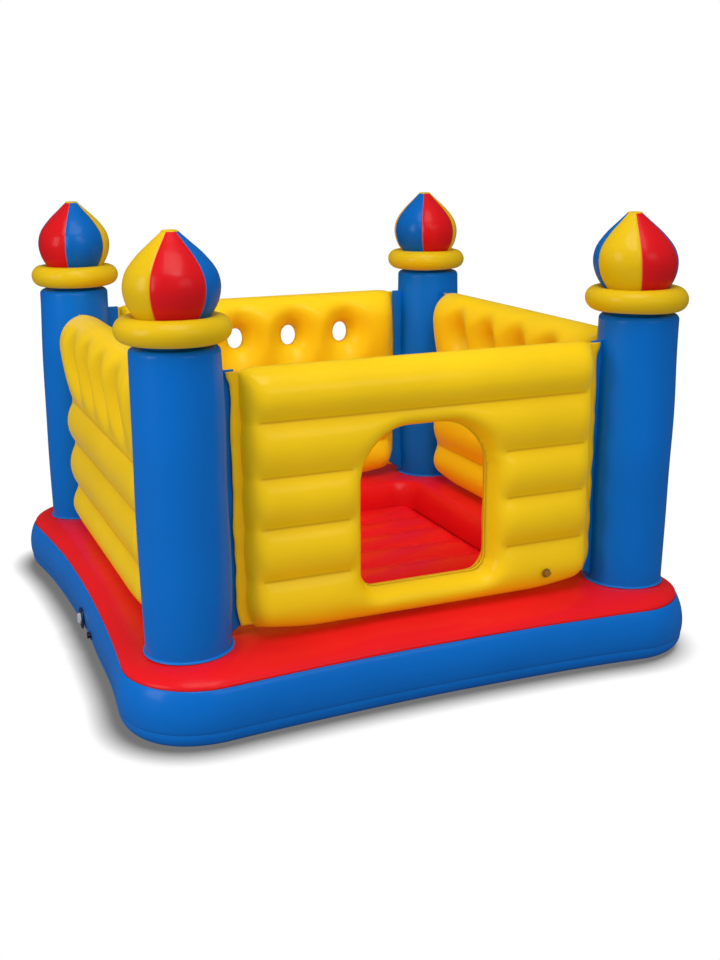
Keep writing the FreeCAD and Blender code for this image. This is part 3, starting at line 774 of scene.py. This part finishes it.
FILM_CLOTH = {"quality": 5, "mass": 0.3, "tension_stiffness": 30.0, "compression_stiffness": 30.0,
              "shear_stiffness": 20.0, "bending_stiffness": 2.0, "use_pressure": True,
              "uniform_pressure_force": 6.0, "vertex_group_mass": "held"}
AIR_FRAMES = 14
AIR_LIMIT = 10 * MM         # a point moves no further than this


def inflate(piece, held):
    """Blow a chamber up by cloth simulation between its held weld lines."""
    rest = mesh_points(piece.data)
    group = piece.vertex_groups.new(name="held")
    group.add([int(index) for index in held], 1.0, "REPLACE")
    cloth = piece.modifiers.new("air", "CLOTH")
    for setting, value in FILM_CLOTH.items():
        setattr(cloth.settings, setting, value)
    cloth.settings.effector_weights.gravity = 0.0
    cloth.collision_settings.use_collision = False
    cloth.collision_settings.use_self_collision = False
    scene = bpy.context.scene
    for number in range(1, AIR_FRAMES + 1):
        scene.frame_set(number)
    solved = piece.evaluated_get(bpy.context.evaluated_depsgraph_get())
    moved = mesh_points(solved.data) - rest
    piece.modifiers.remove(cloth)
    piece.vertex_groups.remove(group)
    scene.frame_set(1)
    length = np.linalg.norm(moved, axis=1)
    moved *= (np.minimum(length, AIR_LIMIT) / np.maximum(length, 1e-9))[:, None]
    piece.data.vertices.foreach_set("co", (rest + moved).ravel())
    piece.data.update()


def smooth_points(piece, held):
    """Even out a simulated mesh, leaving its weld lines in place."""
    mesh = piece.data
    points = mesh_points(mesh)
    edges = np.array([edge.vertices for edge in mesh.edges])
    free = np.ones(len(points), bool)
    free[held] = False
    count = np.bincount(edges.ravel(), minlength=len(points))[:, None]
    for _ in range(4):
        total = np.zeros_like(points)
        np.add.at(total, edges[:, 0], points[edges[:, 1]])
        np.add.at(total, edges[:, 1], points[edges[:, 0]])
        points[free] += 0.5 * (total / count - points)[free]
    mesh.vertices.foreach_set("co", points.ravel())
    mesh.update()


def crease_welds(piece, marks):
    mesh = piece.data
    attribute = mesh.attributes.new("crease_edge", "FLOAT", "EDGE")
    pairs = np.array([edge.vertices for edge in mesh.edges])
    value = 0.7 * ((marks[pairs[:, 0]] > 0.9) & (marks[pairs[:, 1]] > 0.9))
    attribute.data.foreach_set("value", value.astype(np.float32))


def build_wall(name, chamber):
    """One inflated wall, standing in the front wall's place."""
    points, faces, held, marks = chamber
    piece = add_piece(name, points, faces, "yellow_vinyl", "castle", weld=marks)
    inflate(piece, held)
    smooth_points(piece, held)
    crease_welds(piece, marks)
    add_modifier(piece, "SUBSURF", levels=1, render_levels=1)
    return piece


def stand_wall(piece, points, name):
    """Put a wall built in the front wall's place in its own."""
    piece.data.vertices.foreach_set("co", turned(points, WALLS[name]).ravel())
    piece.data.update()
    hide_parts("wall_skin_" + name)


def build_walls():
    """The front wall with its doorway, and three walls alike with portholes."""
    front = build_wall("wall_front", build_chamber(FRONT_WELDS, FRONT_SHAPE, DOORWAY))
    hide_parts("wall_skin_front", "door_lining")
    right = build_wall("wall_right", build_chamber(SIDE_WELDS, PLAIN_SHAPE, PORTHOLES))
    solved = mesh_points(right.data)
    for name in ("rear", "left"):
        copy = right.copy()
        copy.data = right.data.copy()
        copy.name = "wall_" + name
        bpy.context.scene.collection.objects.link(copy)
        stand_wall(copy, solved, name)
    stand_wall(right, solved, "right")


# ---- flat strips at the walls' ends ----------------------------------------
STRIP_ROWS = 150
STRIP_COLUMNS = 6


def strip(heights, start, end, depth, ruffle, seed):
    """Upright film strip from start to end along X at each height, with a wavy free edge."""
    rows = len(heights)
    line = np.column_stack([np.zeros(rows), np.zeros(rows), heights])
    wave = ripple(line, 0.10, seed) * 2.0 * MM + ripple(line, 0.03, seed + 1) * 0.7 * MM
    sway = ripple(line, 0.045, seed + 2) * ruffle
    share = np.linspace(0, 1, STRIP_COLUMNS)[None, :]
    end = end + np.sign(end - start) * wave
    x = start[:, None] + (end - start)[:, None] * share
    y = depth + sway[:, None] * share ** 1.5
    z = heights[:, None] + 0 * x
    return np.column_stack([x.ravel(), y.ravel(), z.ravel()]), grid(rows, STRIP_COLUMNS)


def add_strips(name, points, faces, look, replaced, weld):
    """Give strips their film's thickness; all of a strip is pressed like a weld."""
    piece = add_piece(name, points, faces, look, "castle", [replaced], np.full(len(points), weld))
    add_modifier(piece, "SOLIDIFY", thickness=1.4 * MM, offset=0.0)


def build_flanges():
    """Yellow weld strips at each wall's ends; they follow its rounded lower corners."""
    heights = np.linspace(FLANGE_LOW.z + 22 * MM, FLANGE_HIGH.z - 4 * MM, STRIP_ROWS)
    edge = wall_edge(heights)
    ear = 9 * MM * ease((heights - FLANGE_HIGH.z + 42 * MM) / (30 * MM))
    for number, (name, angle) in enumerate(WALLS.items()):
        points = []
        faces = []
        for side in (-1, 1):
            start = side * (edge - 24 * MM)
            end = side * (edge + 26 * MM + ear)
            local, quads = strip(heights, start, end, -WALL_PLANE, 2.0 * MM, 40 + 7 * number + side)
            append_part(points, faces, local, quads)
        points = turned(points, angle)
        add_strips("flanges_" + name, points, faces, "yellow_vinyl", "wall_flanges_" + name, 0.75)


def build_flaps():
    """Blue strips that carry the walls, widening into a gusset at each foot."""
    inner = TOWER - COLUMN_RADIUS + 14 * MM
    for number, (name, signs) in enumerate(TOWERS.items()):
        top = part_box("column_flaps_" + name)[1].z
        heights = np.linspace(DECK_TOP + 3 * MM, top, STRIP_ROWS)
        start = np.full(len(heights), inner)
        end = wall_edge(heights) + 10 * MM
        points = []
        faces = []
        for wall in range(2):
            seed = 80 + 9 * number + wall
            local, quads = strip(heights, start, end, WALL_PLANE - 10 * MM, 1.2 * MM, seed)
            share = (inner - local[:, 0]) / (inner - WALL_HALF)
            local[:, 2] += 42 * MM * share * np.clip(1 - (local[:, 2] - heights[0]) / (120 * MM), 0, 1)
            if wall:
                local = local[:, [1, 0, 2]]
            append_part(points, faces, local * (*signs, 1), quads)
        add_strips("flaps_" + name, points, faces, "blue_vinyl", "column_flaps_" + name, 0.5)


# ---- towers ----------------------------------------------------------------
SEGMENTS = 96
SHOULDER = 16 * MM          # radius of a column's rounded top edge
COLUMN_TOP = COLUMN_HIGH.z - 2.5 * MM
# Sideways shift of each column's foot and top, in millimetres.
COLUMN_LEAN = {"front_left": (5, 4), "front_right": (-6, 3), "rear_right": (0, 0), "rear_left": (-6, 5)}
# The same for each ring and dome tip, and how much further the tip stands up.
DOME_LEAN = {"front_left": (1, 5, -4), "front_right": (-5, -29, 3),
             "rear_right": (-7, -17, 11), "rear_left": (14, 18, 8)}
# Radius and height of the onion outline in millimetres, from inside the ring to the tip.
DOME_KEYS = [(76, 1066), (93, 1087), (114, 1124), (121.5, 1165), (113, 1202), (84, 1242), (45, 1279),
             (20, DOME_TOP / MM)]
GORE = math.radians(72)
# Where the first gore of each dome starts, and the gores' colours from there on.
DOMES = {"front_left": (-131, ("red", "blue", "yellow", "red", "yellow")),
         "rear_left": (-114, ("blue", "yellow", "red", "blue", "red")),
         "rear_right": (-122, ("red", "yellow", "blue", "yellow", "blue")),
         "front_right": (-117, ("red", "blue", "yellow", "blue", "yellow"))}


def column_shift(name, height):
    """Sideways shift of a column at a height, between those of its foot and its top."""
    foot, top = (shift * MM for shift in COLUMN_LEAN[name])
    return foot + (top - foot) * (height - COLUMN_LOW.z) / (COLUMN_HIGH.z - COLUMN_LOW.z)


def lean(points, name):
    """Carry a turned shape to its tower, with the small lean of its soft dome."""
    at_ring, at_tip, rise = (shift * MM for shift in DOME_LEAN[name])
    share = (points[:, 2] - RING_LOW.z) / (DOME_TOP - RING_LOW.z)
    points[:, 0] += at_ring * np.clip(1 + share * 4, 0, 1) + (at_tip - at_ring) * np.clip(share, 0, 2)
    points[:, 2] += rise * np.clip(share, 0, 2)
    return points + tower_place(name)


def column_profile():
    """Radius and height pairs of a column: foot weld, slight barrel, rounded shoulder, lid."""
    foot = COLUMN_LOW.z - 3 * MM
    edge = COLUMN_RADIUS - 3 * MM
    shoulder_height = COLUMN_TOP - SHOULDER
    profile = [(COLUMN_RADIUS - 1.5 * MM, foot), (COLUMN_RADIUS - 2.5 * MM, foot + 1.5 * MM),
               (edge, foot + 5 * MM)]
    for height in np.linspace(foot + 12 * MM, shoulder_height, 60):
        share = (height - foot) / (shoulder_height - foot)
        profile.append((edge + 4 * MM * math.sin(math.pi * share), height))
    for step in range(1, 11):
        angle = step / 10 * QUARTER
        radius = edge - SHOULDER * (1 - math.cos(angle))
        profile.append((radius, shoulder_height + SHOULDER * math.sin(angle)))
    lid = COLUMN_TOP + 0.3 * MM
    return profile + [(60 * MM, lid), (1 * MM, lid)]


def build_column(name, number):
    """Blue column with puckers at both welds; its foot follows the deck."""
    points, faces = lathe(column_profile(), SEGMENTS)
    radius = from_axis(points)
    radial = points[:, :2] / np.maximum(radius, 1e-6)[:, None]
    angle = bearing(points)
    height = points[:, 2].copy()
    foot = np.exp(-(height - COLUMN_LOW.z) / (28 * MM))
    crown = np.exp(-(COLUMN_HIGH.z - 20 * MM - height) / (30 * MM)) * (height < COLUMN_HIGH.z - 8 * MM)
    wrinkle = np.sin(angle * 23 + number) * np.sin(angle * 7 + 2 * number) * np.clip(foot + crown, 0, 1)
    amount = 1.3 * MM * ripple(points, 0.16, 20 + number) + 0.7 * MM * wrinkle
    points[:, :2] += radial * (amount * (radius > 70 * MM))[:, None]
    marks = np.zeros(len(points))
    marks[:2 * SEGMENTS] = 1.0
    points += tower_place(name)
    points[:, 0] += column_shift(name, height)
    points[:, 2] += (deck_height(points) - DECK_TOP) * np.exp(-(height - COLUMN_LOW.z) / (40 * MM))
    add_piece("column_" + name + "_film", points, faces, "blue_vinyl", "castle", ["column_" + name], marks)


def build_foot_weld(name):
    profile = [(COLUMN_RADIUS - 4 * MM, 2.2 * MM), (COLUMN_RADIUS - 1 * MM, 2.4 * MM),
               (COLUMN_RADIUS + 1.5 * MM, 1.2 * MM), (COLUMN_RADIUS + 2.5 * MM, -2 * MM)]
    points, faces = lathe(profile, SEGMENTS)
    points += tower_place(name)
    points[:, 0] += column_shift(name, COLUMN_LOW.z)
    points[:, 2] += deck_height(points)
    add_piece("foot_weld_" + name, points, faces, "weld_vinyl", "castle", ["column_foot_welds"],
              np.ones(len(points)))


def build_neck(name, number):
    """Pleated sleeve between column and ring; it bends as the dome sways."""
    low = NECK_BOTTOM - 4 * MM
    high = RING_LOW.z + 22 * MM
    profile = [(74 * MM + 10 * MM * (2 * share - 1) ** 2, low + share * (high - low))
               for share in np.linspace(0, 1, 12)]
    points, faces = lathe(profile, 120)
    pleat = 1.2 * MM * np.sin(bearing(points) * 30 + number)
    points[:, :2] *= (1 + pleat / from_axis(points))[:, None]
    piece = add_piece("neck_" + name, lean(points, name), faces, "blue_vinyl", None, ["neck_sleeves"])
    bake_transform(piece)


def build_ring(name, number):
    """Yellow ring, pleated where its film is gathered towards the axis."""
    centre = (RING_LOW.z + RING_HIGH.z) / 2
    tube = (RING_HIGH.z - RING_LOW.z) / 2
    radius = (RING_HIGH.x - RING_LOW.x) / 2 - tube
    segments = 120
    around = np.linspace(0, FULL_TURN, 36, endpoint=False)
    profile = [(radius + tube * math.cos(turn), centre + tube * math.sin(turn)) for turn in around]
    points, faces = lathe(profile, segments)
    first_row = list(range(segments))
    last_row = list(range(len(points) - segments, len(points)))
    faces += ring_quads(first_row, last_row)
    angle = bearing(points)
    out = from_axis(points) - radius
    pleat = np.sin(angle * 26 + number) * np.sin(angle * 9 + 3 * number) * ease(-out / tube)
    amount = 1.6 * MM * pleat + 0.7 * MM * ripple(points, 0.12, 60 + number)
    normal = np.column_stack([np.cos(angle) * out, np.sin(angle) * out, points[:, 2] - centre]) / tube
    points += normal * amount[:, None]
    add_piece("ring_" + name + "_tube", lean(points, name), faces, "yellow_dome", "dome_" + name,
              ["ring_" + name])


def smooth_curve(keys, count):
    """Evenly spaced points on a smooth curve."""
    spacing = np.concatenate([[0], np.cumsum(np.linalg.norm(np.diff(keys, axis=0), axis=1))])
    return [curve_point(keys, spacing, distance) for distance in np.linspace(0, spacing[-1], count)]


def curve_point(keys, spacing, distance):
    """Point of a smooth curve through key points at a distance along them."""
    index = min(int(np.searchsorted(spacing, distance, side="right")) - 1, len(keys) - 2)
    start, end = keys[index], keys[index + 1]
    before = keys[index - 1] if index else 2 * start - end
    after = keys[index + 2] if index + 2 < len(keys) else 2 * end - start
    length = spacing[index + 1] - spacing[index]
    own_slope = (end - start) / length
    slope_start = (own_slope + (start - before) / np.linalg.norm(start - before)) / 2 * length
    slope_end = ((after - end) / np.linalg.norm(after - end) + own_slope) / 2 * length
    t = (distance - spacing[index]) / length
    return ((2 * t ** 3 - 3 * t ** 2 + 1) * start + (t ** 3 - 2 * t ** 2 + t) * slope_start
            + (3 * t ** 2 - 2 * t ** 3) * end + (t ** 3 - t ** 2) * slope_end)


def build_gores(name, colour):
    """All gores of one colour of a dome: film puffed between its seams."""
    profile = smooth_curve(np.array(DOME_KEYS) * MM, 48)
    segments = 24
    first, colours = DOMES[name]
    points = []
    faces = []
    marks = []
    for number, own in enumerate(colours):
        if own != colour:
            continue
        local, quads = lathe(profile, segments, math.radians(first) + number * GORE, GORE)
        share = np.tile(np.linspace(0, 1, segments + 1), len(profile))
        radius = from_axis(local)
        seam = np.minimum(share, 1 - share) * GORE * radius
        puff = (np.sin(math.pi * share) ** 0.55 * 0.040 - 0.028) * ease(radius / (60 * MM)) * radius
        groove = 1.2 * MM * np.exp(-seam / (2.5 * MM))
        local[:, :2] *= (1 + (puff - groove) / np.maximum(radius, 1e-6))[:, None]
        append_part(points, faces, local, quads)
        marks += np.exp(-seam / (1.6 * MM)).tolist()
    add_piece("gores_" + colour + "_" + name, lean(np.array(points), name), faces,
              colour + "_dome", "dome_" + name, ["dome_" + colour + "_" + name], marks)


def build_tip(name):
    profile = [(21.5 * MM, DOME_TOP - 3 * MM), (22 * MM, DOME_TOP - 1 * MM), (19 * MM, DOME_TOP + 1.4 * MM),
               (10 * MM, DOME_TOP + 2.6 * MM), (0.5 * MM, DOME_TOP + 2.2 * MM)]
    points, faces = lathe(profile, 48)
    points[:, 2] += 0.6 * MM * np.sin(bearing(points) * 9) * from_axis(points) / (20 * MM)
    add_piece("tip_" + name, lean(points, name), faces, "yellow_dome", "dome_" + name,
              ["dome_tip_" + name])


def build_towers():
    for number, name in enumerate(TOWERS):
        build_column(name, number)
        build_foot_weld(name)
        build_neck(name, number)
        build_ring(name, number)
        for colour in ("yellow", "red", "blue"):
            build_gores(name, colour)
        build_tip(name)


# ---- inner webs and valves --------------------------------------------------
def cad_film(node):
    mesh = frame["nodes"][node].data
    return mesh_points(mesh), [tuple(face.vertices) for face in mesh.polygons]


def build_floor_webs():
    """The floor's webs, clear of the quilt's grooves; they are made a little shorter."""
    foot = 3 * MM
    points, faces = cad_film("floor_webs")
    points[:, 2] = foot + (points[:, 2] - foot) * 0.93
    piece = add_piece("floor_webs_film", points, faces, "web_film", "castle", ["floor_webs"])
    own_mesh(piece)


def build_wall_webs():
    """The level webs that tie each wall's faces together at its weld lines."""
    for name, angle in WALLS.items():
        points, faces = cad_film("wall_webs_" + name)
        points = turned(points, -angle)
        depth = points[:, 1] + WALL_PLANE
        shape = FRONT_SHAPE if name == "front" else PLAIN_SHAPE
        points[:, 1] = depth * (shape["weld"] - 6 * MM) / np.abs(depth).max() - WALL_PLANE
        add_piece("wall_webs_film_" + name, turned(points, angle), faces, "web_film", "castle",
                  ["wall_webs_" + name])


def dress_cad():
    """Give the CAD pieces that stay visible their materials, and the valves softened edges."""
    looks = {entry["node"]: entry["material_slot"] for entry in frame["record"]["subparts"]}
    for name, node in frame["nodes"].items():
        if node.hide_render:
            continue
        node.data.materials.clear()
        node.data.materials.append(LOOKS[looks[name]])
        if "valve" in name:
            add_modifier(node, "BEVEL", width=0.5 * MM, segments=2, limit_method="ANGLE")


# ---- stage -----------------------------------------------------------------
GROUND_HALF = 40.0
GROUND_HEIGHT = -1 * MM
SHADOW_REACH = 0.10
SHADOW_SLOPE = (0.34, 0.06, 0.94)   # leans the contact shadow towards -X
CAMERA_PLACE = (-1.4478, -3.6577, 1.5015)
CAMERA_YAW, CAMERA_PITCH, CAMERA_ROLL = (math.radians(angle) for angle in (22.995, 15.569, -0.373))
CAMERA_LENS = 45.34
# Place, aim, size, power and spread angle of each softbox.
SOFTBOXES = {"top": ((-0.9, -2.7, 6.96), (0, 0, 0.3), (4.3, 4.3), 220, 180),
             "left": ((-4.7, -1.4, 2.3), (0, 0, 0.4), (2.0, 2.6), 71, 180),
             "front": ((0.9, -4.8, 2.8), (0, 0, 0.6), (2.6, 1.4), 24, 180),
             "inner": ((-0.3, -1.6, 2.3), (0, 0.72, 0.62), (1.2, 0.5), 1.6, 56)}
# How bright the surroundings are to each kind of ray.
SURROUNDINGS = {"Is Camera Ray": 1.0, "Is Diffuse Ray": 0.47, "Is Glossy Ray": 0.06}


def ground_look():
    """Plain white with the castle's soft contact shadow for the camera, and grey for the
    light that it throws back on the castle."""
    look = Look("ground_white")
    path = look.add("ShaderNodeLightPath")
    tone = look.mix(path.outputs["Is Glossy Ray"], (0.45, 0.45, 0.45), (0.12, 0.12, 0.12))
    look.set(Base_Color=tone, Roughness=0.9, Specular_IOR_Level=0.0)
    slope = look.add("ShaderNodeCombineXYZ")
    for axis, value in zip("XYZ", SHADOW_SLOPE):
        slope.inputs[axis].default_value = value
    shadow = look.add("ShaderNodeAmbientOcclusion", samples=24)
    shadow.inputs["Distance"].default_value = SHADOW_REACH
    look.link(slope.outputs["Vector"], shadow.inputs["Normal"])
    seen = look.add("ShaderNodeEmission")
    look.link(look.between(shadow.outputs["AO"], 0.17, 1.0, 0.42, 0.92), seen.inputs["Strength"])
    blend = look.add("ShaderNodeMixShader")
    look.link(path.outputs["Is Camera Ray"], blend.inputs["Fac"])
    look.link(look.surface.outputs["BSDF"], blend.inputs[1])
    look.link(seen.outputs["Emission"], blend.inputs[2])
    look.link(blend.outputs["Shader"], look.tree.nodes["Material Output"].inputs["Surface"])
    return look.material


def build_ground():
    signs = ((-1, -1), (1, -1), (1, 1), (-1, 1))
    corners = [(x * GROUND_HALF, y * GROUND_HALF, GROUND_HEIGHT) for x, y in signs]
    mesh = bpy.data.meshes.new("ground")
    mesh.from_pydata(corners, [], [(0, 1, 2, 3)])
    mesh.materials.append(ground_look())
    ground = bpy.data.objects.new("ground", mesh)
    bpy.context.scene.collection.objects.link(ground)


def build_surroundings():
    """White surroundings for the camera and dimmer ones for the castle."""
    world = bpy.data.worlds.new("studio")
    bpy.context.scene.world = world
    world.use_nodes = True
    tree = world.node_tree
    background = tree.nodes["Background"]
    background.inputs["Color"].default_value = (1.0, 1.0, 1.0, 1.0)
    path = tree.nodes.new("ShaderNodeLightPath")
    strength = None
    for ray, added in SURROUNDINGS.items():
        total = tree.nodes.new("ShaderNodeMath")
        total.operation = "MULTIPLY_ADD"
        tree.links.new(path.outputs[ray], total.inputs[0])
        total.inputs[1].default_value = added
        total.inputs[2].default_value = 0.0
        if strength is not None:
            tree.links.new(strength, total.inputs[2])
        strength = total.outputs["Value"]
    tree.links.new(strength, background.inputs["Strength"])


def build_softboxes():
    for name, (place, aim, size, power, spread_angle) in SOFTBOXES.items():
        name += "_softbox"
        data = bpy.data.lights.new(name, "AREA")
        data.shape = "RECTANGLE"
        data.size, data.size_y = size
        data.energy = power
        data.spread = math.radians(spread_angle)
        light = bpy.data.objects.new(name, data)
        light.location = place
        light.rotation_euler = (Vector(aim) - Vector(place)).to_track_quat("-Z", "Y").to_euler()
        bpy.context.scene.collection.objects.link(light)


def build_camera():
    """Camera a little above the castle, to the left of its doorway."""
    data = bpy.data.cameras.new("camera")
    data.lens = CAMERA_LENS
    data.sensor_width = 36.0
    camera = bpy.data.objects.new("camera", data)
    turn = (Matrix.Rotation(-CAMERA_YAW, 4, "Z") @ Matrix.Rotation(QUARTER - CAMERA_PITCH, 4, "X")
            @ Matrix.Rotation(CAMERA_ROLL, 4, "Z"))
    camera.matrix_world = Matrix.Translation(CAMERA_PLACE) @ turn
    bpy.context.scene.collection.objects.link(camera)
    bpy.context.scene.camera = camera


build_side_band()
build_bottom_sheet()
build_top_deck()
build_floor()
build_walls()
build_flanges()
build_flaps()
build_towers()
build_floor_webs()
build_wall_webs()
dress_cad()
build_ground()
build_surroundings()
build_softboxes()
build_camera()
bpy.context.scene.view_settings.view_transform = "Standard"
